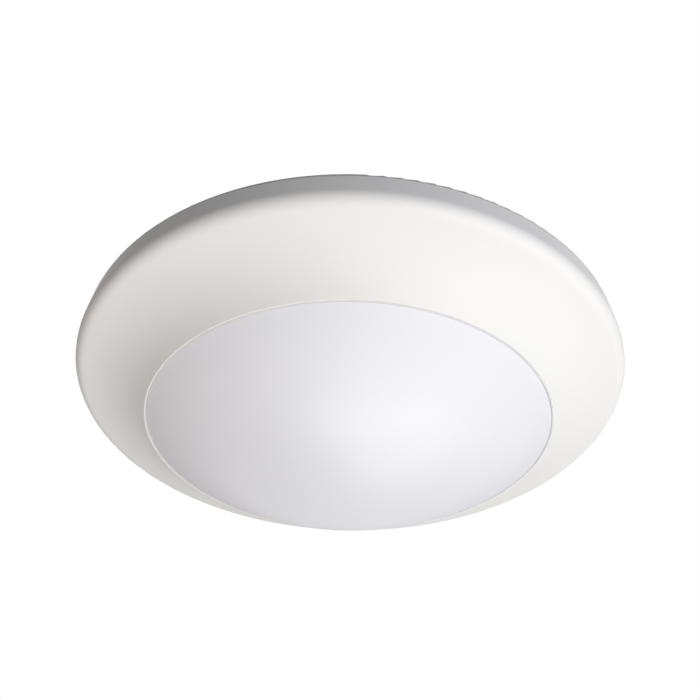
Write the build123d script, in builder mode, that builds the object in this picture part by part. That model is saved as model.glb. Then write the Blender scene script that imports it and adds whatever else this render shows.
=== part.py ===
from build123d import *
import os
from math import acos, asin, atan2, cos, degrees, radians, sin, tan

# Ceiling disk light: a domed opal lens in a coved trim ring, hung from a ceiling box by a twist-lock bracket.
# Millimetres, +Z up. The origin is the centre of the box screws in the ceiling plane, and the lens faces -Z.

# Trim ring
trim_diameter = 190.0
trim_wall = 2.2
lip_overhang = 0.5  # how far the round lip stands out past the back edge
lip_radius = 3.8
lip_depth = 8.4  # ceiling to the centre of the lip's round
cove_start_angle = 7.0  # slope of the hollow cove where it leaves the lip
opening_land = 5.5  # height of the bore that the lens passes through, to its sharp edge
seat_width = 5.9  # ledge around the bore, under the lens flange
back_edge_radius = 1.5
opening_edge_radius = 0.4
boss_diameter = 7.0
boss_gap = 0.6  # between the lens seat and the screw bosses
boss_count = 6
rib_wall = 1.6  # ring rib that joins the bosses

# Back pan, a stamped dish that closes the trim ring and carries the light engine
pan_sheet = 1.2
pan_bend_radius = 2.0
pan_flare = 2.5
pan_flange_width = 5.8
pan_edge_margin = 0.5  # boss edge to the start of the flare
rim_clearance = 0.7

# Ceiling bracket, a pressed steel plate
bracket_sheet = 1.5
bracket_bend_radius = 2.0
bracket_drop = 4.2  # ceiling plate down to the twist flange
bracket_joggle = 2.5
bracket_margin = 1.6  # metal left beside slots and keyholes
wire_hole_diameter = 40.0
box_screw_wide = 88.9  # 3-1/2 in ceiling box
box_screw_narrow = 69.85  # 2-3/4 in fixture box
box_slot_width = 4.8
box_slot_length = 8.0

# Twist lock
stud_count = 3
stud_shoulder_diameter = 5.0
stud_head_diameter = 9.5
stud_head_height = 1.8
stud_collar_diameter = 8.0
stud_collar_height = 3.0
stud_clinch_diameter = 5.6
stud_crown_radius = 0.7
twist_angle = 18.0
twist_gap = 0.25  # above and below the twist flange
slot_gap = 0.35  # shoulder to the sides of its slot
keyhole_gap = 0.5  # stud head to its keyhole

# Lens, its seal and the reflector that clamps it
lens_wall = 2.0
lens_flange_thickness = 1.8
lens_gap = 0.3
lens_recess = 0.75  # lens edge above the trim's sharp edge
lens_sag = 19.6
lens_edge_radius = 0.6
lens_flange_clearance = 0.4
lens_gasket_thickness = 0.8
reflector_height = 4.8
reflector_wall = 1.6
reflector_foot = 4.0

# Ceiling gasket, closed-cell foam
ceiling_gasket_thickness = 3.2

# Light engine
engine_margin = 16.6  # lens opening to the edge of the board
board_thickness = 1.6
pad_thickness = 0.5
pad_margin = 1.0
board_clearance = 1.4  # board edge to the reflector
chip_length = 3.5
chip_width = 2.8
chip_height = 0.7
chip_edge_margin = 1.4
chip_ring_step = 6.2
chip_cover_gap = 1.0  # least room between the chips and the cap's flange
chip_outer_count = 24
chip_ring_fewer = 4  # fewer chips on each ring further in

# Driver parts on the board, under a cap
cover_diameter = 52.0
cover_height = 11.5
cover_wall = 1.4
cover_flange_width = 6.0
cover_edge_radius = 3.0
capacitor_diameter = 8.0
capacitor_height = 9.0
capacitor_x = 12.5
capacitor_y = 11.0
rectifier_size = (8.0, 6.5, 2.6)
rectifier_y = -13.0
fuse_size = (4.0, 8.0, 6.0)
fuse_x = -14.5
varistor_diameter = 7.5
varistor_thickness = 3.2
varistor_x = 14.5
varistor_lead_diameter = 0.9
varistor_lead_pitch = 5.0
varistor_standoff = 1.5
driver_chip_size = (4.0, 5.0, 1.6)
driver_chip_pitch = 8.0
driver_chip_y = 13.5
resistor_size = (1.6, 3.2, 0.7)
resistor_pitch = 3.0
resistor_count = 4
resistor_y = 6.5

# Supply terminal on the back of the pan
terminal_length = 26.0
terminal_width = 15.0
terminal_height = 5.8
terminal_edge = 0.6
terminal_pitch = 7.5
terminal_poles = 3
wire_entry_diameter = 3.0
wire_entry_depth = 9.0
wire_entry_flare = 0.5
release_slot_length = 2.8
release_slot_width = 1.2
release_slot_depth = 2.0
release_slot_inset = 3.4  # from the back of the block
neck_length = 20.0
neck_width = 6.0
neck_gap = 0.25
pin_diameter = 1.1
pin_gap = 0.1
pin_tail = 0.8

# Fasteners
pan_screw_diameter = 2.8
pan_screw_length = 3.6  # below the head
pan_screw_head_diameter = 5.6
pan_screw_head_height = 1.9
board_screw_diameter = 2.8
board_screw_head_diameter = 5.4
board_screw_head_height = 1.8
board_screw_count = 3
board_screw_tip = 1.0  # past the back of the pan
screw_fit = 0.05
screw_crown_radius = 0.8
recess_length = 3.0
recess_width = 0.7
recess_depth = 0.9
ground_screw_diameter = 4.0
ground_head_across_flats = 7.0
ground_head_height = 3.0
ground_washer_diameter = 9.0
ground_washer_height = 0.8
ground_screw_reach = 32.0
ground_screw_bearing = 135.0


def on_circle(center, radius, angle):
    """Point of a circle in the section plane, at an angle in degrees."""
    return center + Vector(radius * cos(radians(angle)), radius * sin(radians(angle)))


# Heights, from the ceiling down
bracket_top = 0.0
flange_top = bracket_top - bracket_drop
flange_bottom = flange_top - bracket_sheet
collar_top = flange_bottom - twist_gap
pan_top = collar_top - stud_collar_height
pan_bottom = pan_top - pan_sheet
board_top = pan_bottom - pad_thickness
board_bottom = board_top - board_thickness
lens_flange_top = pan_bottom - reflector_height
lens_flange_bottom = lens_flange_top - lens_flange_thickness
seat_height = lens_flange_bottom - lens_gasket_thickness
trim_edge = seat_height - opening_land
lens_edge = trim_edge + lens_recess
lens_bottom = lens_edge - lens_sag
pan_flange_top = bracket_top - ceiling_gasket_thickness

# Radii of the head, from the lip inwards
trim_radius = trim_diameter / 2
back_radius = trim_radius - lip_overhang
lip_center = Vector(trim_radius - lip_radius, bracket_top - lip_depth)
back_edge = Vector(back_radius, bracket_top)
to_lip = lip_center - back_edge
draft = degrees(asin(lip_radius / to_lip.length) - atan2(-to_lip.X, -to_lip.Y))
inner_lip_radius = lip_radius - trim_wall
inner_wall_end = on_circle(lip_center, inner_lip_radius, draft)
rim_rise = bracket_top - inner_wall_end.Y
inner_back_edge = inner_wall_end + Vector(-rim_rise * tan(radians(draft)), rim_rise)
pan_flange_radius = inner_back_edge.X - rim_clearance
pan_flare_radius = pan_flange_radius - pan_flange_width
pan_floor_radius = pan_flare_radius - pan_flare
pan_flare_angle = atan2(pan_flange_top - pan_top, pan_flare)
pan_flange_flat_radius = pan_flare_radius + pan_bend_radius * tan(pan_flare_angle / 2)
boss_circle = pan_floor_radius - pan_edge_margin - boss_diameter / 2
seat_radius = boss_circle - boss_diameter / 2 - boss_gap
opening_radius = seat_radius - seat_width

# The cove leaves the lip at its start angle and ends on the edge of the bore
lip_end_angle = cove_start_angle - 90
cove_from = on_circle(lip_center, lip_radius, lip_end_angle)
cove_to = Vector(opening_radius, trim_edge)
cove_normal = Vector(sin(radians(cove_start_angle)), -cos(radians(cove_start_angle)))
cove_chord = cove_to - cove_from
cove_radius = cove_chord.length**2 / (2 * cove_chord.dot(cove_normal))
cove_center = cove_from + cove_normal * cove_radius
cove_from_angle = 90 + cove_start_angle
cove_to_angle = degrees(atan2(cove_to.Y - cove_center.Y, cove_to.X - cove_center.X))
inner_cove_radius = cove_radius + trim_wall
inner_cove_angle = degrees(acos((seat_radius - cove_center.X) / inner_cove_radius))
rib_root_radius = cove_radius + trim_wall / 2
rib_root_angle = degrees(acos((seat_radius - cove_center.X) / rib_root_radius))

# Radii of the bracket, from the box screws outwards
plate_radius = box_screw_wide / 2 + box_slot_length / 2 + bracket_margin
flange_inner_radius = plate_radius + bracket_joggle
keyhole_radius = stud_head_diameter / 2 + keyhole_gap
stud_circle = flange_inner_radius + bracket_bend_radius + bracket_margin + keyhole_radius
bracket_radius = stud_circle + keyhole_radius + bracket_margin
slot_half_width = stud_shoulder_diameter / 2 + slot_gap

# Radii of the light engine
board_radius = opening_radius - engine_margin
cover_radius = cover_diameter / 2
cover_flange_radius = cover_radius + cover_flange_width
board_screw_circle = cover_radius + cover_flange_width / 2
outer_chip_radius = board_radius - chip_edge_margin - chip_length / 2
inner_chip_radius = cover_flange_radius + chip_cover_gap + chip_length / 2
chip_ring_count = 1 + int((outer_chip_radius - inner_chip_radius) / chip_ring_step)

os.makedirs("parts", exist_ok=True)

# Screw bosses and the ring rib between them, rooted in the trim's wall
with BuildPart() as trim_bosses:
    with BuildSketch(Plane.XY.offset(pan_bottom)):
        Circle(boss_circle + rib_wall / 2)
        Circle(boss_circle - rib_wall / 2, mode=Mode.SUBTRACT)
        with PolarLocations(boss_circle, boss_count):
            Circle(boss_diameter / 2)
    extrude(amount=pan_bottom - trim_edge, dir=(0, 0, -1))
    with BuildSketch(Plane.XZ):
        with BuildLine():
            root = CenterArc(cove_center, rib_root_radius, cove_from_angle, rib_root_angle - cove_from_angle)
            Polyline(root @ 1, ((root @ 1).X, pan_bottom), ((root @ 0).X, pan_bottom), root @ 0)
        make_face()
    revolve(axis=Axis.Z, mode=Mode.INTERSECT)

# Trim ring: drafted rim, round lip, hollow cove and a ledge for the lens
with BuildPart() as trim_ring:
    with BuildSketch(Plane.XZ):
        with BuildLine():
            Line(back_edge, on_circle(lip_center, lip_radius, draft))
            CenterArc(lip_center, lip_radius, draft, lip_end_angle - draft)
            CenterArc(cove_center, cove_radius, cove_from_angle, cove_to_angle - cove_from_angle)
            Polyline(
                cove_to,
                (opening_radius, seat_height),
                (seat_radius, seat_height),
                on_circle(cove_center, inner_cove_radius, inner_cove_angle),
            )
            CenterArc(cove_center, inner_cove_radius, inner_cove_angle, cove_from_angle - inner_cove_angle)
            CenterArc(lip_center, inner_lip_radius, lip_end_angle, draft - lip_end_angle)
            Polyline(inner_wall_end, inner_back_edge, back_edge)
        make_face()
        fillet(vertices().group_by(Axis.Y)[-1].sort_by(Axis.X)[-1], back_edge_radius)
        fillet(vertices().sort_by(Axis.Y)[0], opening_edge_radius)
    revolve(axis=Axis.Z)
    add(trim_bosses.part)
    with BuildSketch(Plane.XY.offset(pan_bottom)):
        with PolarLocations(boss_circle, boss_count):
            Circle(pan_screw_diameter / 2 + screw_fit)
    extrude(amount=-pan_screw_length, mode=Mode.SUBTRACT)

# Lens: a dome on a short skirt, with a flange that rests on the trim's ledge
skirt_radius = opening_radius - lens_gap
inner_skirt_radius = skirt_radius - lens_wall
lens_flange_radius = seat_radius - lens_flange_clearance
dome_radius = (skirt_radius**2 + lens_sag**2) / (2 * lens_sag)
dome_center = Vector(0, lens_bottom + dome_radius)
inner_dome_radius = dome_radius - lens_wall
dome_edge_angle = -degrees(acos(skirt_radius / dome_radius))
inner_dome_angle = -degrees(acos(inner_skirt_radius / inner_dome_radius))
with BuildPart() as diffuser_lens:
    with BuildSketch(Plane.XZ):
        with BuildLine():
            outside = CenterArc(dome_center, dome_radius, -90, 90 + dome_edge_angle)
            inside = CenterArc(dome_center, inner_dome_radius, -90, 90 + inner_dome_angle)
            Polyline(
                outside @ 1,
                (skirt_radius, lens_flange_bottom),
                (lens_flange_radius, lens_flange_bottom),
                (lens_flange_radius, lens_flange_top),
                (inner_skirt_radius, lens_flange_top),
                inside @ 1,
            )
            Line(inside @ 0, outside @ 0)
        make_face()
        fillet(vertices().sort_by_distance((skirt_radius, lens_edge))[0], lens_edge_radius)
    revolve(axis=Axis.Z)

# Silicone ring under the lens flange
with BuildPart() as lens_gasket:
    with BuildSketch(Plane.XY.offset(seat_height)):
        Circle(lens_flange_radius)
        Circle(opening_radius, mode=Mode.SUBTRACT)
    extrude(amount=lens_gasket_thickness)

# White reflector, clamped between the pan and the lens flange
reflector_inner_radius = board_radius + board_clearance
reflector_top_radius = reflector_inner_radius + reflector_wall
with BuildPart() as reflector_ring:
    with BuildSketch(Plane.XZ):
        with BuildLine():
            Polyline(
                (reflector_inner_radius, pan_bottom),
                (reflector_top_radius, pan_bottom),
                (lens_flange_radius, lens_flange_top + reflector_wall),
                (lens_flange_radius, lens_flange_top),
                (lens_flange_radius - reflector_foot, lens_flange_top),
                close=True,
            )
        make_face()
    revolve(axis=Axis.Z)

# Back pan: floor, flare and gasket flange, with holes for screws, studs and the terminal's neck
with BuildPart() as back_pan:
    with BuildSketch(Plane.XZ):
        with BuildLine():
            FilletPolyline(
                (0, pan_top),
                (pan_floor_radius, pan_top),
                (pan_flare_radius, pan_flange_top),
                (pan_flange_radius, pan_flange_top),
                radius=pan_bend_radius,
            )
            offset(amount=pan_sheet, side=Side.RIGHT)
        make_face()
    revolve(axis=Axis.Z)
    with BuildSketch(Plane.XY.offset(pan_top)):
        SlotOverall(neck_length + 2 * neck_gap, neck_width + 2 * neck_gap)
        with PolarLocations(boss_circle, boss_count):
            Circle(pan_screw_diameter / 2 + screw_fit)
        with PolarLocations(stud_circle, stud_count):
            Circle(stud_clinch_diameter / 2)
        with PolarLocations(board_screw_circle, board_screw_count):
            Circle(board_screw_diameter / 2 + screw_fit)
    extrude(amount=-pan_sheet, mode=Mode.SUBTRACT)

# Foam ring on the pan's flange, pressed flush with the ceiling
with BuildPart() as ceiling_gasket:
    with BuildSketch(Plane.XY.offset(pan_flange_top)):
        Circle(pan_flange_radius)
        Circle(pan_flange_flat_radius, mode=Mode.SUBTRACT)
    extrude(amount=ceiling_gasket_thickness)

# Bracket: ceiling plate, joggle and a lower flange with arc keyholes that the studs twist into
with BuildPart() as mounting_bracket:
    with BuildSketch(Plane.XZ):
        with BuildLine():
            FilletPolyline(
                (wire_hole_diameter / 2, bracket_top),
                (plate_radius, bracket_top),
                (flange_inner_radius, flange_top),
                (bracket_radius, flange_top),
                radius=bracket_bend_radius,
            )
            offset(amount=bracket_sheet, side=Side.RIGHT)
        make_face()
    revolve(axis=Axis.Z)
    with BuildSketch(Plane.XY.offset(bracket_top)):
        with GridLocations(box_screw_wide, 0, 2, 1):
            SlotOverall(box_slot_length, box_slot_width)
        with GridLocations(0, box_screw_narrow, 1, 2):
            SlotOverall(box_slot_length, box_slot_width, rotation=90)
        with PolarLocations(ground_screw_reach, 1, start_angle=ground_screw_bearing):
            Circle(ground_screw_diameter / 2 + screw_fit)
    extrude(amount=-bracket_sheet, mode=Mode.SUBTRACT)
    with BuildSketch(Plane.XY.offset(flange_top)):
        for stud in range(stud_count):
            bearing = stud * 360 / stud_count
            with BuildLine(mode=Mode.PRIVATE) as twist_path:
                CenterArc((0, 0), stud_circle, bearing, -twist_angle)
            SlotArc(twist_path.wire(), 2 * slot_half_width)
            with PolarLocations(stud_circle, 1, start_angle=bearing - twist_angle):
                Circle(keyhole_radius)
    extrude(amount=-bracket_sheet, mode=Mode.SUBTRACT)

# Shoulder studs, clinched into the pan and hooked over the bracket's flange
head_bottom = flange_top + twist_gap
with BuildPart() as twist_studs:
    with PolarLocations(stud_circle, stud_count):
        with Locations((0, 0, pan_bottom)):
            Cylinder(
                stud_clinch_diameter / 2, pan_sheet, align=(Align.CENTER, Align.CENTER, Align.MIN)
            )
        with Locations((0, 0, pan_top)):
            Cylinder(
                stud_collar_diameter / 2, stud_collar_height, align=(Align.CENTER, Align.CENTER, Align.MIN)
            )
        with Locations((0, 0, collar_top)):
            Cylinder(
                stud_shoulder_diameter / 2,
                head_bottom - collar_top,
                align=(Align.CENTER, Align.CENTER, Align.MIN),
            )
        with Locations((0, 0, head_bottom)):
            Cylinder(
                stud_head_diameter / 2, stud_head_height, align=(Align.CENTER, Align.CENTER, Align.MIN)
            )
    fillet(edges().group_by(Axis.Z)[-1], stud_crown_radius)

# Thermal pad and round LED board under the pan
with BuildPart() as thermal_pad:
    with BuildSketch(Plane.XY.offset(board_top)):
        Circle(board_radius - pad_margin)
        SlotOverall(neck_length + 2 * neck_gap, neck_width + 2 * neck_gap, mode=Mode.SUBTRACT)
        with PolarLocations(board_screw_circle, board_screw_count):
            Circle(board_screw_diameter / 2 + screw_fit, mode=Mode.SUBTRACT)
    extrude(amount=pad_thickness)

with BuildPart() as led_board:
    with BuildSketch(Plane.XY.offset(board_bottom)):
        Circle(board_radius)
        with GridLocations(terminal_pitch, 0, terminal_poles, 1):
            Circle(pin_diameter / 2 + pin_gap, mode=Mode.SUBTRACT)
        with PolarLocations(board_screw_circle, board_screw_count):
            Circle(board_screw_diameter / 2 + screw_fit, mode=Mode.SUBTRACT)
    extrude(amount=board_thickness)

with BuildPart() as led_chips:
    with BuildSketch(Plane.XY.offset(board_bottom)):
        for ring in range(chip_ring_count):
            ring_radius = outer_chip_radius - ring * chip_ring_step
            with PolarLocations(ring_radius, chip_outer_count - ring * chip_ring_fewer):
                Rectangle(chip_length, chip_width)
    extrude(amount=-chip_height)

# Supply terminal on the pan, with wire entries on its +Y side, release slots on top and pins to the board
with BuildPart() as terminal_block:
    with BuildSketch(Plane.XY.offset(pan_top)):
        Rectangle(terminal_length, terminal_width)
    extrude(amount=terminal_height)
    chamfer(edges().group_by(Axis.Z)[-1], terminal_edge)
    with BuildSketch(Plane.XY.offset(board_top)):
        SlotOverall(neck_length, neck_width)
    extrude(amount=pan_top - board_top)
    with BuildSketch(Plane.XZ.offset(-terminal_width / 2)):
        with Locations((0, pan_top + terminal_height / 2)):
            with GridLocations(terminal_pitch, 0, terminal_poles, 1):
                Circle(wire_entry_diameter / 2)
    extrude(amount=wire_entry_depth, mode=Mode.SUBTRACT)
    with BuildSketch(Plane.XY.offset(pan_top + terminal_height)):
        with Locations((0, release_slot_inset - terminal_width / 2)):
            with GridLocations(terminal_pitch, 0, terminal_poles, 1):
                Rectangle(release_slot_length, release_slot_width)
    extrude(amount=-release_slot_depth, mode=Mode.SUBTRACT)
    mouths = edges().filter_by(GeomType.CIRCLE).group_by(Axis.Y)[-1]
    chamfer(mouths, wire_entry_flare)

with BuildPart() as terminal_pins:
    with BuildSketch(Plane.XY.offset(board_top)):
        with GridLocations(terminal_pitch, 0, terminal_poles, 1):
            Circle(pin_diameter / 2)
    extrude(amount=-(board_thickness + pin_tail))

# Cap over the driver parts, held by the board screws
with BuildPart() as driver_cover:
    with BuildSketch(Plane.XY.offset(board_bottom)):
        Circle(cover_radius)
    extrude(amount=-cover_height)
    fillet(edges().group_by(Axis.Z)[0], cover_edge_radius)
    offset(amount=-cover_wall, openings=faces().sort_by(Axis.Z)[-1])
    with BuildSketch(Plane.XY.offset(board_bottom)):
        Circle(cover_flange_radius)
        Circle(cover_radius - cover_wall, mode=Mode.SUBTRACT)
        with PolarLocations(board_screw_circle, board_screw_count):
            Circle(board_screw_diameter / 2 + screw_fit, mode=Mode.SUBTRACT)
    extrude(amount=-cover_wall)

# Driver parts, soldered to the board's lower face
board_face = Plane.XY.offset(board_bottom)
with BuildPart() as filter_capacitors:
    with BuildSketch(board_face):
        with GridLocations(2 * capacitor_x, 0, 2, 1):
            with Locations((0, -capacitor_y)):
                Circle(capacitor_diameter / 2)
    extrude(amount=-capacitor_height)

with BuildPart() as bridge_rectifier:
    with BuildSketch(board_face):
        with Locations((0, rectifier_y)):
            Rectangle(rectifier_size[0], rectifier_size[1])
    extrude(amount=-rectifier_size[2])

with BuildPart() as fuse:
    with BuildSketch(board_face):
        with Locations((fuse_x, 0)):
            Rectangle(fuse_size[0], fuse_size[1])
    extrude(amount=-fuse_size[2])

with BuildPart() as surge_varistor:
    with BuildSketch(Plane.YZ.offset(varistor_x - varistor_thickness / 2)):
        with Locations((0, board_bottom - varistor_standoff - varistor_diameter / 2)):
            Circle(varistor_diameter / 2)
    extrude(amount=varistor_thickness)
    with BuildSketch(board_face):
        with Locations((varistor_x, 0)):
            with GridLocations(0, varistor_lead_pitch, 1, 2):
                Circle(varistor_lead_diameter / 2)
    extrude(amount=-(varistor_standoff + varistor_diameter / 2))

with BuildPart() as driver_chips:
    with BuildSketch(board_face):
        with Locations((0, driver_chip_y)):
            with GridLocations(driver_chip_pitch, 0, 2, 1):
                Rectangle(driver_chip_size[0], driver_chip_size[1])
    extrude(amount=-driver_chip_size[2])

with BuildPart() as sense_resistors:
    with BuildSketch(board_face):
        with Locations((0, resistor_y)):
            with GridLocations(resistor_pitch, 0, resistor_count, 1):
                Rectangle(resistor_size[0], resistor_size[1])
    extrude(amount=-resistor_size[2])

# Screws with cross recesses: the pan's point down into the bosses, the board's point up into the pan
with BuildPart() as pan_screws:
    with BuildSketch(Plane.XY.offset(pan_top)):
        with PolarLocations(boss_circle, boss_count):
            Circle(pan_screw_head_diameter / 2)
    extrude(amount=pan_screw_head_height)
    fillet(edges().group_by(Axis.Z)[-1], screw_crown_radius)
    with BuildSketch(Plane.XY.offset(pan_top)):
        with PolarLocations(boss_circle, boss_count):
            Circle(pan_screw_diameter / 2)
    extrude(amount=-pan_screw_length)
    with BuildSketch(Plane.XY.offset(pan_top + pan_screw_head_height)):
        with PolarLocations(boss_circle, boss_count):
            Rectangle(recess_length, recess_width)
            Rectangle(recess_width, recess_length)
    extrude(amount=-recess_depth, mode=Mode.SUBTRACT)

board_screw_seat = board_bottom - cover_wall
with BuildPart() as board_screws:
    with BuildSketch(Plane.XY.offset(board_screw_seat)):
        with PolarLocations(board_screw_circle, board_screw_count):
            Circle(board_screw_head_diameter / 2)
    extrude(amount=-board_screw_head_height)
    fillet(edges().group_by(Axis.Z)[0], screw_crown_radius)
    with BuildSketch(Plane.XY.offset(board_screw_seat)):
        with PolarLocations(board_screw_circle, board_screw_count):
            Circle(board_screw_diameter / 2)
    extrude(amount=pan_top + board_screw_tip - board_screw_seat)
    with BuildSketch(Plane.XY.offset(board_screw_seat - board_screw_head_height)):
        with PolarLocations(board_screw_circle, board_screw_count):
            Rectangle(recess_length, recess_width)
            Rectangle(recess_width, recess_length)
    extrude(amount=recess_depth, mode=Mode.SUBTRACT)

# Ground screw under the ceiling plate, flush with its top
plate_bottom = bracket_top - bracket_sheet
ground_place = Location(
    (
        ground_screw_reach * cos(radians(ground_screw_bearing)),
        ground_screw_reach * sin(radians(ground_screw_bearing)),
    )
)
with BuildPart() as ground_screw:
    with BuildSketch(Plane.XY.offset(plate_bottom)):
        with Locations(ground_place):
            Circle(ground_screw_diameter / 2)
    extrude(amount=bracket_sheet)
    with BuildSketch(Plane.XY.offset(plate_bottom)):
        with Locations(ground_place):
            Circle(ground_washer_diameter / 2)
    extrude(amount=-ground_washer_height)
    with BuildSketch(Plane.XY.offset(plate_bottom - ground_washer_height)):
        with Locations(ground_place):
            RegularPolygon(ground_head_across_flats / 2, 6, major_radius=False)
    extrude(amount=-(ground_head_height - ground_washer_height))

pieces = {
    "trim_ring": trim_ring,
    "diffuser_lens": diffuser_lens,
    "lens_gasket": lens_gasket,
    "reflector_ring": reflector_ring,
    "back_pan": back_pan,
    "ceiling_gasket": ceiling_gasket,
    "mounting_bracket": mounting_bracket,
    "twist_studs": twist_studs,
    "thermal_pad": thermal_pad,
    "led_board": led_board,
    "led_chips": led_chips,
    "terminal_block": terminal_block,
    "terminal_pins": terminal_pins,
    "driver_cover": driver_cover,
    "filter_capacitors": filter_capacitors,
    "bridge_rectifier": bridge_rectifier,
    "fuse": fuse,
    "surge_varistor": surge_varistor,
    "driver_chips": driver_chips,
    "sense_resistors": sense_resistors,
    "pan_screws": pan_screws,
    "board_screws": board_screws,
    "ground_screw": ground_screw,
}
for name, piece in pieces.items():
    piece.part.label = name
    export_step(piece.part, f"parts/{name}.step")
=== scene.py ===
import math

import bpy
from mathutils import Matrix, Vector


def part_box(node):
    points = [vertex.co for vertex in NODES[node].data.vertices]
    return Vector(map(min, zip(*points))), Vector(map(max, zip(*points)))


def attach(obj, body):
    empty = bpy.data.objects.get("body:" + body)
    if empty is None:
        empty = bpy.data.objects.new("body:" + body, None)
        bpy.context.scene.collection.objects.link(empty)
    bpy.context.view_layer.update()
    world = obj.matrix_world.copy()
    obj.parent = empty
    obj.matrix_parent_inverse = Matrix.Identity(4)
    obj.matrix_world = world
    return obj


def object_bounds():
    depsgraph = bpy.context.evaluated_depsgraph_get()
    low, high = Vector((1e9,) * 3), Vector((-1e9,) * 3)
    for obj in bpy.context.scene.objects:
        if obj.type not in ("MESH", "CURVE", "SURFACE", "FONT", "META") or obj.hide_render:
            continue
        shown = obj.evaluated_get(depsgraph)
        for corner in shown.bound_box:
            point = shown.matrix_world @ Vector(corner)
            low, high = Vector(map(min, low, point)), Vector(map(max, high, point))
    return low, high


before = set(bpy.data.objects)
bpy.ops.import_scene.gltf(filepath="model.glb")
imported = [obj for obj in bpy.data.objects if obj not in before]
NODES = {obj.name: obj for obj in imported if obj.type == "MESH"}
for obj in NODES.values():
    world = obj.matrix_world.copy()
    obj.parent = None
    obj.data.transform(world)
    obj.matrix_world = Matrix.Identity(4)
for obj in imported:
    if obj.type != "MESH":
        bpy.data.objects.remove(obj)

# Ceiling disk light: a domed opal lens in a coved white trim ring, seen from below as it hangs.
# Metres, +Z up. The origin is in the ceiling plane, and the lens faces -Z.

CAD_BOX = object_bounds()
LIGHT_MIDDLE = (CAD_BOX[0] + CAD_BOX[1]) / 2
MM = 0.001
TURN = 2 * math.pi

# Camera, near the lens and looking up at it
CAMERA_DISTANCE = 0.24275
CAMERA_BELOW = math.radians(37.1)
CAMERA_AIM = Vector((-0.000117, 0, 0.019702))
CAMERA_ROLL = math.radians(1.068)
CAMERA_LENS = 33.495
CAMERA_NEAR = 0.01

# Floor and backdrop
FLOOR_HEIGHT = -0.62
FLOOR_HALF = 6.0
FLOOR_FADE = (0.35, 1.6)
FLOOR_LIFT = 0.82
AMBIENT = (0.03, 0.03, 0.032, 1)
WHITE = (1, 1, 1, 1)
UP = Vector((0, 0, 1))

# Level lamp below and to the right, which the lens mirrors as a soft bright patch
LEVEL_LAMP_MIDDLE = Vector((0.24, -0.015, -0.45))
LEVEL_LAMP_SIZE = (0.72, 0.47)

# Soft boxes: how far they stand from the light and how large they are, unless a lamp gives its own
BOX_DISTANCE = 0.5
BOX_SIZE = (0.4, 0.4)

# Fasteners in rings about the light's axis: how many, and the radius of the ring
STUDS = (3, 61.4 * MM)
PAN_SCREWS = (6, 79.3 * MM)
BOARD_SCREWS = (3, 29 * MM)

# Threads: points in each turn, sides of the ridge, and how far below the screws' tips they start
THREAD_STEPS = 24
RIDGE_SIDES = 3
THREAD_START = 0.78 * MM

# Gap around the lens: the radii of its two walls
LENS_SKIRT = 68.996 * MM
LENS_OPENING = 69.296 * MM

# Gasket's lip in that gap: points round it, its clearance from each wall, and the height where it ends
LIP_STEPS = 256
LIP_CLEARANCE = 0.02 * MM
LIP_END = -22.45 * MM

# Heights between which the trim's white goes over to painted shade: a grey band that stands in for the shadow
# on its rounded back edge
BACK_EDGE_SHADE_HEIGHTS = (-1.95 * MM, -1.45 * MM)

# Lens: how strongly it bends light, and the radii between which its face goes from satin to frosted
POLYCARBONATE_IOR = 1.586
LENS_FROST = (30 * MM, 69 * MM)

# Rolled sheet: how its lines and scuffs are drawn out, and the levels of noise between which a scuff fades in
LINE_STRETCH = (0.012, 1, 1)
SCUFF_STRETCH = (1, 0.05, 0.05)
SCUFF_LEVELS = (0.56, 0.66)


def add(tree, kind, inputs=None, **properties):
    """A node of that kind, with its properties set and its inputs filled by values or by other sockets."""
    made = tree.nodes.new(kind)
    for name, value in properties.items():
        setattr(made, name, value)
    for name, value in (inputs or {}).items():
        if isinstance(value, bpy.types.NodeSocket):
            tree.links.new(value, made.inputs[name])
        else:
            made.inputs[name].default_value = value
    return made


def maths(tree, operation, *values):
    """What that operation makes of the values."""
    return add(tree, "ShaderNodeMath", dict(enumerate(values)), operation=operation).outputs[0]


def mixed(tree, factor, first, second):
    """Colour between first and second."""
    return add(tree, "ShaderNodeMix", {0: factor, 6: first, 7: second}, data_type="RGBA").outputs[2]


def weighted(tree, share, first, second):
    """First and second added up, first with that share and second with the rest."""
    return maths(tree, "MULTIPLY_ADD", first, share, maths(tree, "MULTIPLY", second, 1 - share))


def spread(tree, value, low, high, start=0.0, end=1.0, rise="LINEAR"):
    """A value that goes from start to end, as one that goes from low to high."""
    inputs = {"Value": value, "From Min": start, "From Max": end, "To Min": low, "To Max": high}
    return add(tree, "ShaderNodeMapRange", inputs, interpolation_type=rise).outputs[0]


def noise(tree, where, size, detail=2.0):
    """Noise whose blotches are about that size."""
    inputs = {"Vector": where, "Scale": maths(tree, "DIVIDE", 1.0, size), "Detail": detail}
    return add(tree, "ShaderNodeTexNoise", inputs).outputs["Fac"]


def cells(tree, where, size):
    """Cells of about that size: a Color for each, and the Distance from its middle."""
    return add(tree, "ShaderNodeTexVoronoi", {"Vector": where, "Scale": 1 / size}, feature="F1").outputs


def stretched(tree, where, scale):
    """Coordinates scaled along each axis, so that a pattern on them is drawn out where the scale is small."""
    return add(tree, "ShaderNodeVectorMath", {0: where, 1: scale}, operation="MULTIPLY").outputs[0]


def off_axis(tree, where):
    """Distance from the upright axis."""
    level = stretched(tree, where, (1, 1, 0))
    return add(tree, "ShaderNodeVectorMath", {0: level}, operation="LENGTH").outputs["Value"]


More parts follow.
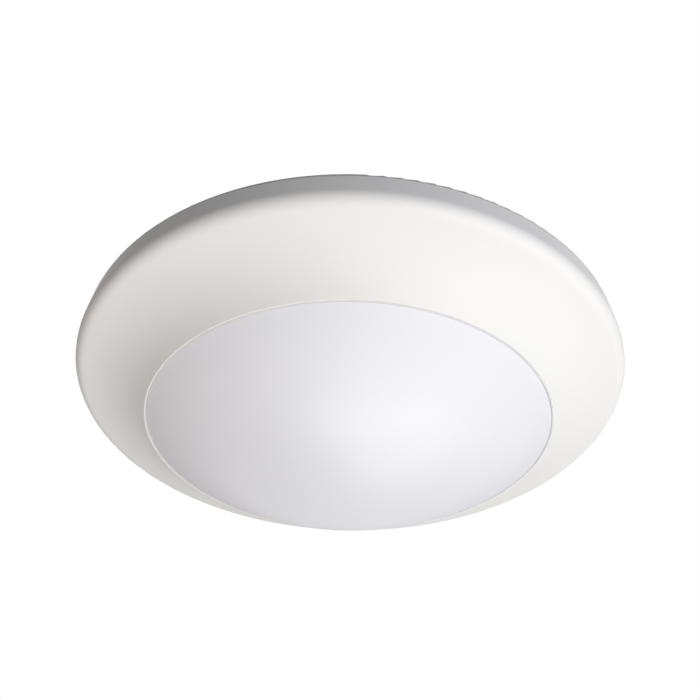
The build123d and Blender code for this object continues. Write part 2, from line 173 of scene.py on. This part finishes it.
def shader_group(name, sizes, outputs):
    """An empty group with a Vector input, those sizes and outputs: the tree, its inputs and its outputs."""
    tree = bpy.data.node_groups.new(name, "ShaderNodeTree")
    tree.interface.new_socket("Vector", in_out="INPUT", socket_type="NodeSocketVector")
    for label, value in sizes.items():
        tree.interface.new_socket(label, in_out="INPUT", socket_type="NodeSocketFloat").default_value = value
    for label in outputs:
        tree.interface.new_socket(label, in_out="OUTPUT", socket_type="NodeSocketFloat")
    return tree, tree.nodes.new("NodeGroupInput").outputs, tree.nodes.new("NodeGroupOutput").inputs


def make_skin_group():
    """Skin of a coat, moulding or plating: a fine grain and a broad mottle."""
    tree, given, made = shader_group(
        "fine_skin", {"Grain Size": 0.8 * MM, "Mottle Size": 40 * MM}, ["Grain", "Mottle"]
    )
    tree.links.new(noise(tree, given["Vector"], given["Grain Size"]), made["Grain"])
    tree.links.new(noise(tree, given["Vector"], given["Mottle Size"]), made["Mottle"])
    return tree


def make_rolled_group():
    """Rolled sheet: lines along the mill's direction and a few longer scuffs across them."""
    tree, given, made = shader_group(
        "rolled_sheet", {"Line Size": 0.25 * MM, "Scuff Size": 6 * MM}, ["Lines", "Scuffs"]
    )
    along = stretched(tree, given["Vector"], LINE_STRETCH)
    tree.links.new(noise(tree, along, given["Line Size"], 3.0), made["Lines"])
    across = stretched(tree, given["Vector"], SCUFF_STRETCH)
    scuff = noise(tree, across, given["Scuff Size"], 4.0)
    tree.links.new(spread(tree, scuff, 0.0, 1.0, *SCUFF_LEVELS), made["Scuffs"])
    return tree


def make_turned_group():
    """Turning marks: rings about each of a count of fasteners, in a circle about the light's axis."""
    tree, given, made = shader_group(
        "turned_rings", {"Count": 3, "Circle": 60 * MM, "Pitch": 0.3 * MM}, ["Rings"]
    )
    place = add(tree, "ShaderNodeSeparateXYZ", {0: given["Vector"]}).outputs
    bearing = maths(tree, "ARCTAN2", place["Y"], place["X"])
    share = maths(tree, "DIVIDE", TURN, given["Count"])
    middle = maths(tree, "MULTIPLY_ADD", share, 0.5, bearing)
    offset = maths(tree, "SUBTRACT", bearing, maths(tree, "SNAP", middle, share))
    radius = off_axis(tree, given["Vector"])
    out = maths(tree, "MULTIPLY", radius, maths(tree, "COSINE", offset))
    side = maths(tree, "MULTIPLY", radius, maths(tree, "SINE", offset))
    beside = maths(tree, "SUBTRACT", out, given["Circle"])
    local = add(tree, "ShaderNodeCombineXYZ", {"X": beside, "Y": side}).outputs[0]
    turns = maths(tree, "DIVIDE", off_axis(tree, local), given["Pitch"])
    wave = maths(tree, "SINE", maths(tree, "MULTIPLY", turns, TURN))
    tree.links.new(spread(tree, wave, 0.0, 1.0, -1.0, 1.0), made["Rings"])
    return tree


SKIN = make_skin_group()
ROLLED = make_rolled_group()
TURNED = make_turned_group()


def material(name, even=None):
    """A material, its tree, its shader and Object coordinates. Even gives what is the same all over it."""
    made = bpy.data.materials.new(name)
    made.use_nodes = True
    tree = made.node_tree
    shader = tree.nodes["Principled BSDF"]
    for socket, value in (even or {}).items():
        shader.inputs[socket].default_value = value
    return made, tree, shader, tree.nodes.new("ShaderNodeTexCoord").outputs["Object"]


def placed(tree, group, where, **sizes):
    """A shared group's outputs, with its own sizes here."""
    inputs = {"Vector": where, **{name.replace("_", " ").title(): size for name, size in sizes.items()}}
    return add(tree, "ShaderNodeGroup", inputs, node_tree=group).outputs


def fill(tree, shader, colour, roughness):
    """Links a colour and a roughness to the shader."""
    tree.links.new(colour, shader.inputs["Base Color"])
    tree.links.new(roughness, shader.inputs["Roughness"])


def emboss(tree, shader, height, strength, depth=0.02 * MM):
    """Raises a height as a bump on the shader's surface."""
    bump = add(tree, "ShaderNodeBump", {"Strength": strength, "Distance": depth, "Height": height})
    tree.links.new(bump.outputs[0], shader.inputs["Normal"])


def dress(node, finish):
    """Gives a CAD node that finish."""
    NODES[node].material_slots[0].material = finish


def moulded(name, pale, deep, roughness):
    """A moulded, dipped or pressed piece: its colour wanders from pale to deep, under a fine grain."""
    finish, tree, shader, where = material(name)
    skin = placed(tree, SKIN, where, grain_size=0.3 * MM, mottle_size=12 * MM)
    colour = mixed(tree, skin["Mottle"], (*pale, 1), (*deep, 1))
    fill(tree, shader, colour, spread(tree, skin["Grain"], roughness - 0.05, roughness + 0.07))
    emboss(tree, shader, skin["Grain"], strength=0.2)
    return finish


def trim_coat():
    """Warm white powder coat: satin, with a faint peel. Along the back edge its colour goes to grey, a
    painted shade for the rounded edge that turns away from the lamps.
    """
    finish, tree, shader, where = material("trim_white_coat", {"Specular IOR Level": 0.3})
    skin = placed(tree, SKIN, where, grain_size=0.9 * MM, mottle_size=45 * MM)
    coat = mixed(tree, skin["Mottle"], (0.865, 0.858, 0.832, 1), (0.85, 0.842, 0.812, 1))
    # Painted shade: near the back edge the coat colour is mixed to grey, which stands in for the shadow
    # there, with the grain making its border ragged
    height = add(tree, "ShaderNodeSeparateXYZ", {0: where}).outputs["Z"]
    ragged = maths(tree, "MULTIPLY_ADD", skin["Grain"], 0.1 * MM, height)
    painted_edge_shade = spread(tree, ragged, 0.0, 1.0, *BACK_EDGE_SHADE_HEIGHTS)
    colour = mixed(tree, painted_edge_shade, coat, (0.40, 0.40, 0.405, 1))
    fill(tree, shader, colour, spread(tree, skin["Grain"], 0.38, 0.46))
    emboss(tree, shader, skin["Grain"], strength=0.05)
    return finish


def lens_opal():
    """Opal polycarbonate: milky, a little blue, satin in the middle and frosted towards its edge."""
    even = {"IOR": POLYCARBONATE_IOR, "Specular IOR Level": 1.0}
    finish, tree, shader, where = material("lens_opal", even)
    skin = placed(tree, SKIN, where, grain_size=0.5 * MM, mottle_size=60 * MM)
    colour = mixed(tree, skin["Mottle"], (0.775, 0.775, 0.80, 1), (0.76, 0.762, 0.79, 1))
    frost = spread(tree, off_axis(tree, where), 0.285, 0.62, *LENS_FROST, rise="SMOOTHERSTEP")
    fill(tree, shader, colour, maths(tree, "MULTIPLY_ADD", skin["Grain"], 0.06, frost))
    emboss(tree, shader, skin["Grain"], strength=0.03)
    return finish


def pan_aluminium():
    """Mill-finish sheet: fine rolling lines, cloudy where hands have been, a few scuffs."""
    finish, tree, shader, where = material("pan_aluminium", {"Metallic": 1.0})
    sheet = placed(tree, ROLLED, where, line_size=0.3 * MM, scuff_size=5 * MM)
    skin = placed(tree, SKIN, where, grain_size=0.6 * MM, mottle_size=18 * MM)
    shade = weighted(tree, 0.4, skin["Mottle"], sheet["Lines"])
    contrast = spread(tree, shade, 0.0, 1.0, 0.3, 0.7)
    clean = mixed(tree, contrast, (0.50, 0.51, 0.525, 1), (0.74, 0.75, 0.76, 1))
    colour = mixed(tree, sheet["Scuffs"], clean, (0.66, 0.67, 0.68, 1))
    clouded = spread(tree, shade, 0.26, 0.46)
    fill(tree, shader, colour, maths(tree, "MULTIPLY_ADD", sheet["Scuffs"], 0.08, clouded))
    emboss(tree, shader, sheet["Lines"], strength=0.25)
    return finish


def zinc_crystals(tree, where, size):
    """One grey for each crystal of about that size, from 0 to 1."""
    return add(tree, "ShaderNodeSeparateColor", {0: cells(tree, where, size)["Color"]}).outputs[0]


def bracket_zinc():
    """Galvanised steel sheet: grey crystals of several sizes, some brighter than others."""
    finish, tree, shader, where = material("bracket_zinc", {"Metallic": 1.0})
    sheet = placed(tree, ROLLED, where, line_size=0.4 * MM, scuff_size=4 * MM)
    skin = placed(tree, SKIN, where, grain_size=0.5 * MM, mottle_size=3 * MM)
    wander = maths(tree, "MULTIPLY", skin["Mottle"], 2 * MM)
    bent = add(tree, "ShaderNodeVectorMath", {0: where, 1: wander}, operation="ADD").outputs[0]
    crystal = weighted(tree, 0.6, zinc_crystals(tree, bent, 4.5 * MM), zinc_crystals(tree, bent, 1.6 * MM))
    plated = mixed(tree, crystal, (0.47, 0.48, 0.495, 1), (0.68, 0.69, 0.705, 1))
    colour = mixed(tree, sheet["Scuffs"], plated, (0.60, 0.61, 0.62, 1))
    fill(tree, shader, colour, spread(tree, crystal, 0.32, 0.50))
    emboss(tree, shader, skin["Grain"], strength=0.1)
    return finish


def ceiling_foam():
    """Closed-cell foam: dark, dry, with a skin of small bubbles."""
    finish, tree, shader, where = material("ceiling_foam", {"Specular IOR Level": 0.2})
    skin = placed(tree, SKIN, where, grain_size=0.9 * MM, mottle_size=14 * MM)
    bubbles = cells(tree, where, 0.8 * MM)["Distance"]
    dry = mixed(tree, skin["Mottle"], (0.045, 0.045, 0.048, 1), (0.085, 0.085, 0.09, 1))
    colour = mixed(tree, spread(tree, bubbles, 0.0, 0.5), dry, (0.03, 0.03, 0.032, 1))
    fill(tree, shader, colour, spread(tree, skin["Grain"], 0.82, 0.95))
    emboss(tree, shader, bubbles, strength=0.5, depth=0.15 * MM)
    return finish


def turned_zinc(name, ring, pitch):
    """Bright zinc on turned steel: rings left by the tool, and a trace of yellow in the plating."""
    finish, tree, shader, where = material(name, {"Metallic": 1.0})
    count, circle = ring
    rings = placed(tree, TURNED, where, count=count, circle=circle, pitch=pitch)["Rings"]
    skin = placed(tree, SKIN, where, grain_size=0.4 * MM, mottle_size=4 * MM)
    colour = mixed(tree, skin["Mottle"], (0.62, 0.615, 0.60, 1), (0.76, 0.765, 0.775, 1))
    fill(tree, shader, colour, spread(tree, rings, 0.24, 0.36))
    emboss(tree, shader, rings, strength=0.15)
    return finish


def ground_green():
    """Green dye over zinc, thin enough for the metal to show."""
    even = {"Metallic": 1.0, "Coat Weight": 0.4, "Coat Roughness": 0.2}
    finish, tree, shader, where = material("ground_green", even)
    skin = placed(tree, SKIN, where, grain_size=0.4 * MM, mottle_size=2.5 * MM)
    colour = mixed(tree, skin["Mottle"], (0.03, 0.25, 0.09, 1), (0.07, 0.38, 0.15, 1))
    fill(tree, shader, colour, spread(tree, skin["Grain"], 0.25, 0.4))
    emboss(tree, shader, skin["Grain"], strength=0.1)
    return finish


def open_tree(name, sizes):
    """A Geometry Nodes tree with an input for each size and one for the finish: the tree and its inputs."""
    tree = bpy.data.node_groups.new(name, "GeometryNodeTree")
    tree.interface.new_socket("Geometry", in_out="INPUT", socket_type="NodeSocketGeometry")
    for label, size in sizes.items():
        kind = "NodeSocketInt" if isinstance(size, int) else "NodeSocketFloat"
        tree.interface.new_socket(label, in_out="INPUT", socket_type=kind)
    tree.interface.new_socket("Finish", in_out="INPUT", socket_type="NodeSocketMaterial")
    tree.interface.new_socket("Geometry", in_out="OUTPUT", socket_type="NodeSocketGeometry")
    return tree, tree.nodes.new("NodeGroupInput").outputs


def lifted(tree, shape, height):
    """The shape moved up by that height."""
    rise = add(tree, "ShaderNodeCombineXYZ", {"Z": height}).outputs[0]
    return add(tree, "GeometryNodeTransform", {"Geometry": shape, "Translation": rise}).outputs[0]


def grow(name, tree, shape, sizes, finish):
    """A piece of the light's head: the tree's shape at those sizes, made a plain mesh in that finish."""
    inputs = tree.nodes["Group Input"].outputs
    solid = add(tree, "GeometryNodeRealizeInstances", {"Geometry": shape}).outputs["Geometry"]
    dressed = add(tree, "GeometryNodeSetMaterial", {"Geometry": solid, "Material": inputs["Finish"]})
    tree.links.new(dressed.outputs["Geometry"], tree.nodes.new("NodeGroupOutput").inputs["Geometry"])
    piece = bpy.data.objects.new(name, bpy.data.meshes.new(name))
    bpy.context.scene.collection.objects.link(piece)
    nodes = piece.modifiers.new(name, "NODES")
    nodes.node_group = tree
    values = {**sizes, "Finish": finish}
    for socket in tree.interface.items_tree:
        if socket.in_out == "INPUT" and socket.name in values:
            nodes[socket.identifier] = values[socket.name]
    made = bpy.data.meshes.new_from_object(piece.evaluated_get(bpy.context.evaluated_depsgraph_get()))
    piece.modifiers.remove(nodes)
    piece.data = made
    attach(piece, "light_head")


def screw_threads(name, finish, sizes):
    """Threads on a ring of screws: a ridge wound up each shank from its foot."""
    tree, given = open_tree(name, sizes)
    helix = add(tree, "GeometryNodeCurveSpiral", {
        "Resolution": THREAD_STEPS,
        "Rotations": given["Turns"],
        "Start Radius": given["Core"],
        "End Radius": given["Core"],
        "Height": maths(tree, "MULTIPLY", given["Pitch"], given["Turns"]),
    }).outputs["Curve"]
    crest = add(tree, "GeometryNodeCurvePrimitiveCircle", {
        "Resolution": RIDGE_SIDES,
        "Radius": given["Ridge"],
    })
    ridge = add(tree, "GeometryNodeCurveToMesh", {
        "Curve": helix,
        "Profile Curve": crest.outputs["Curve"],
        "Fill Caps": True,
    }).outputs["Mesh"]
    ring = add(tree, "GeometryNodeMeshCircle", {"Vertices": given["Count"], "Radius": given["Circle"]})
    wound = add(tree, "GeometryNodeInstanceOnPoints", {
        "Points": ring.outputs["Mesh"],
        "Instance": lifted(tree, ridge, given["Foot"]),
    }).outputs["Instances"]
    grow(name, tree, wound, sizes, finish)


def gasket_lip(name, finish, sizes):
    """Lip of a gasket: a thin ring in the gap around the lens, from the gasket to near the gap's mouth."""
    tree, given = open_tree(name, sizes)
    path = add(tree, "GeometryNodeCurvePrimitiveCircle", {
        "Resolution": LIP_STEPS,
        "Radius": given["Radius"],
    })
    section = add(tree, "GeometryNodeCurvePrimitiveQuadrilateral", {
        "Width": given["Width"],
        "Height": given["Depth"],
    })
    ring = add(tree, "GeometryNodeCurveToMesh", {
        "Curve": path.outputs["Curve"],
        "Profile Curve": section.outputs["Curve"],
    }).outputs["Mesh"]
    grow(name, tree, lifted(tree, ring, given["Middle"]), sizes, finish)


def white_everywhere(tree):
    """1 for what the camera, a reflection or a clear piece sees, 0 for light that falls on the object."""
    path = tree.nodes.new("ShaderNodeLightPath").outputs
    seen = maths(tree, "MAXIMUM", path["Is Camera Ray"], path["Is Glossy Ray"])
    return maths(tree, "MAXIMUM", seen, path["Is Transmission Ray"])


def set_world():
    """A white backdrop, which gives the object only a little light from all round."""
    world = bpy.data.worlds.new("white_studio")
    bpy.context.scene.world = world
    world.use_nodes = True
    tree = world.node_tree
    backdrop = tree.nodes["Background"]
    tree.links.new(mixed(tree, white_everywhere(tree), AMBIENT, WHITE), backdrop.inputs["Color"])
    backdrop.inputs["Strength"].default_value = 1.0


def lay_floor():
    """A pale floor under the camera. It keeps the light's shadow, and goes white further out."""
    sides = ((-1, -1), (1, -1), (1, 1), (-1, 1))
    corners = [(x * FLOOR_HALF, y * FLOOR_HALF, FLOOR_HEIGHT) for x, y in sides]
    mesh = bpy.data.meshes.new("floor")
    mesh.from_pydata(corners, [], [range(len(corners))])
    floor = bpy.data.objects.new("floor", mesh)
    bpy.context.scene.collection.objects.link(floor)
    finish, tree, shader, where = material("pale_floor", {"Specular IOR Level": 0.0})
    skin = placed(tree, SKIN, where, grain_size=3 * MM, mottle_size=300 * MM)
    colour = mixed(tree, skin["Mottle"], (0.42, 0.42, 0.42, 1), (0.38, 0.38, 0.38, 1))
    fill(tree, shader, colour, spread(tree, skin["Grain"], 0.7, 0.8))
    lift = spread(tree, off_axis(tree, where), FLOOR_LIFT, 1.0, *FLOOR_FADE)
    glow = add(tree, "ShaderNodeEmission", {"Color": WHITE, "Strength": 1.0}).outputs[0]
    seen = maths(tree, "MULTIPLY", lift, white_everywhere(tree))
    blend = add(tree, "ShaderNodeMixShader", {0: seen, 1: shader.outputs[0], 2: glow}).outputs[0]
    tree.links.new(blend, tree.nodes["Material Output"].inputs["Surface"])
    mesh.materials.append(finish)


def hang_lamp(name, middle, towards, size, watts, colour=WHITE[:3]):
    """A flat lamp of that width and length, which shines in that direction."""
    lamp = bpy.data.lights.new(name, "AREA")
    lamp.shape = "RECTANGLE"
    lamp.size, lamp.size_y = size
    lamp.energy = watts
    lamp.color = colour
    holder = bpy.data.objects.new(name, lamp)
    bpy.context.scene.collection.objects.link(holder)
    turn = (-towards).to_track_quat("Z", "Y").to_matrix().to_4x4()
    holder.matrix_world = Matrix.Translation(middle) @ turn


def soft_box(name, bearing, rise, watts, colour=WHITE[:3], distance=BOX_DISTANCE, size=BOX_SIZE):
    """A lamp aimed at the light. Bearing 0 is the near side and 90 the right; rise is above the horizon."""
    turn = math.radians(bearing)
    lift = math.radians(rise)
    across = math.cos(lift)
    outward = Vector((math.sin(turn) * across, -math.cos(turn) * across, math.sin(lift)))
    hang_lamp(name, LIGHT_MIDDLE + outward * distance, -outward, size, watts, colour)


def place_camera():
    """The camera, below the light on its near side, rolled a little."""
    camera = bpy.data.objects.new("camera", bpy.data.cameras.new("camera"))
    bpy.context.scene.collection.objects.link(camera)
    bpy.context.scene.camera = camera
    camera.data.lens = CAMERA_LENS
    camera.data.clip_start = CAMERA_NEAR
    stand = Vector((0, -math.cos(CAMERA_BELOW), -math.sin(CAMERA_BELOW))) * CAMERA_DISTANCE
    aim = (CAMERA_AIM - stand).to_track_quat("-Z", "Y").to_matrix().to_4x4()
    camera.matrix_world = Matrix.Translation(stand) @ aim @ Matrix.Rotation(CAMERA_ROLL, 4, "Z")


# What shows as the light hangs
dress("trim_ring", trim_coat())
dress("diffuser_lens", lens_opal())

# The ceiling side
dress("back_pan", pan_aluminium())
dress("mounting_bracket", bracket_zinc())
dress("ceiling_gasket", ceiling_foam())
dress("twist_studs", turned_zinc("stud_zinc", STUDS, 0.35 * MM))
dress("pan_screws", turned_zinc("pan_screw_zinc", PAN_SCREWS, 0.25 * MM))
dress("ground_screw", ground_green())
dress("terminal_block", moulded("terminal_ivory", (0.80, 0.77, 0.68), (0.76, 0.73, 0.63), 0.42))

# Inside
board_screw_zinc = turned_zinc("board_screw_zinc", BOARD_SCREWS, 0.25 * MM)
dress("board_screws", board_screw_zinc)
screw_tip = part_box("board_screws")[1].z
screw_threads("board_screw_threads", board_screw_zinc, {
    "Count": BOARD_SCREWS[0],
    "Circle": BOARD_SCREWS[1],
    "Core": 1.4 * MM,
    "Ridge": 0.2 * MM,
    "Pitch": 0.5 * MM,
    "Turns": 1.15,
    "Foot": screw_tip - THREAD_START,
})
lens_silicone = moulded("lens_silicone", (0.74, 0.74, 0.72), (0.68, 0.68, 0.66), 0.5)
dress("lens_gasket", lens_silicone)
lip_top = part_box("lens_gasket")[0].z
gasket_lip("lens_gasket_lip", lens_silicone, {
    "Radius": (LENS_SKIRT + LENS_OPENING) / 2,
    "Width": LENS_OPENING - LENS_SKIRT - 2 * LIP_CLEARANCE,
    "Depth": lip_top - LIP_END,
    "Middle": (lip_top + LIP_END) / 2,
})
dress("reflector_ring", moulded("reflector_white", (0.87, 0.87, 0.86), (0.85, 0.85, 0.84), 0.6))
dress("thermal_pad", moulded("thermal_pad_grey", (0.36, 0.38, 0.42), (0.30, 0.32, 0.36), 0.75))
dress("led_board", moulded("board_white", (0.82, 0.82, 0.80), (0.79, 0.79, 0.77), 0.35))
dress("led_chips", moulded("chip_phosphor", (0.86, 0.66, 0.16), (0.80, 0.58, 0.10), 0.4))
dress("terminal_pins", moulded("pin_tin", (0.62, 0.60, 0.55), (0.55, 0.53, 0.48), 0.3))
dress("driver_cover", moulded("cover_white", (0.84, 0.84, 0.83), (0.82, 0.82, 0.81), 0.5))
dress("filter_capacitors", moulded("capacitor_sleeve", (0.02, 0.022, 0.035), (0.03, 0.032, 0.05), 0.3))
dress("bridge_rectifier", moulded("rectifier_black", (0.02, 0.02, 0.02), (0.03, 0.03, 0.03), 0.5))
dress("driver_chips", moulded("chip_black", (0.018, 0.018, 0.018), (0.028, 0.028, 0.028), 0.5))
dress("sense_resistors", moulded("resistor_black", (0.025, 0.025, 0.026), (0.035, 0.035, 0.036), 0.4))
dress("fuse", moulded("fuse_brown", (0.10, 0.05, 0.028), (0.13, 0.065, 0.036), 0.45))
dress("surge_varistor", moulded("varistor_blue", (0.012, 0.05, 0.26), (0.016, 0.065, 0.31), 0.3))

# Studio
set_world()
lay_floor()
place_camera()

# Lamps: the soft boxes give their bearing and rise in degrees, then their watts
hang_lamp("level_lamp", LEVEL_LAMP_MIDDLE, UP, LEVEL_LAMP_SIZE, 0.98)
soft_box("key", 38, -38, 1.4)
soft_box("right_side", 45, -8, 0.25, (0.88, 0.9, 1.0))
soft_box("rim_side", 45, 16, 0.16, (0.55, 0.64, 1.0))
soft_box("under_rear", 150, -55, 0.38, (0.92, 0.92, 1.0), size=(0.36, 0.36))
soft_box("near_fill", 0, -60, 0.17)
soft_box("left_fill", 270, -34, 0.27, (1.0, 0.74, 0.58))
soft_box("top_rear", 180, 30, 14.8, (0.95, 0.94, 1.0), distance=1.3, size=(1.6, 0.35))

bpy.context.scene.view_settings.view_transform = "Standard"
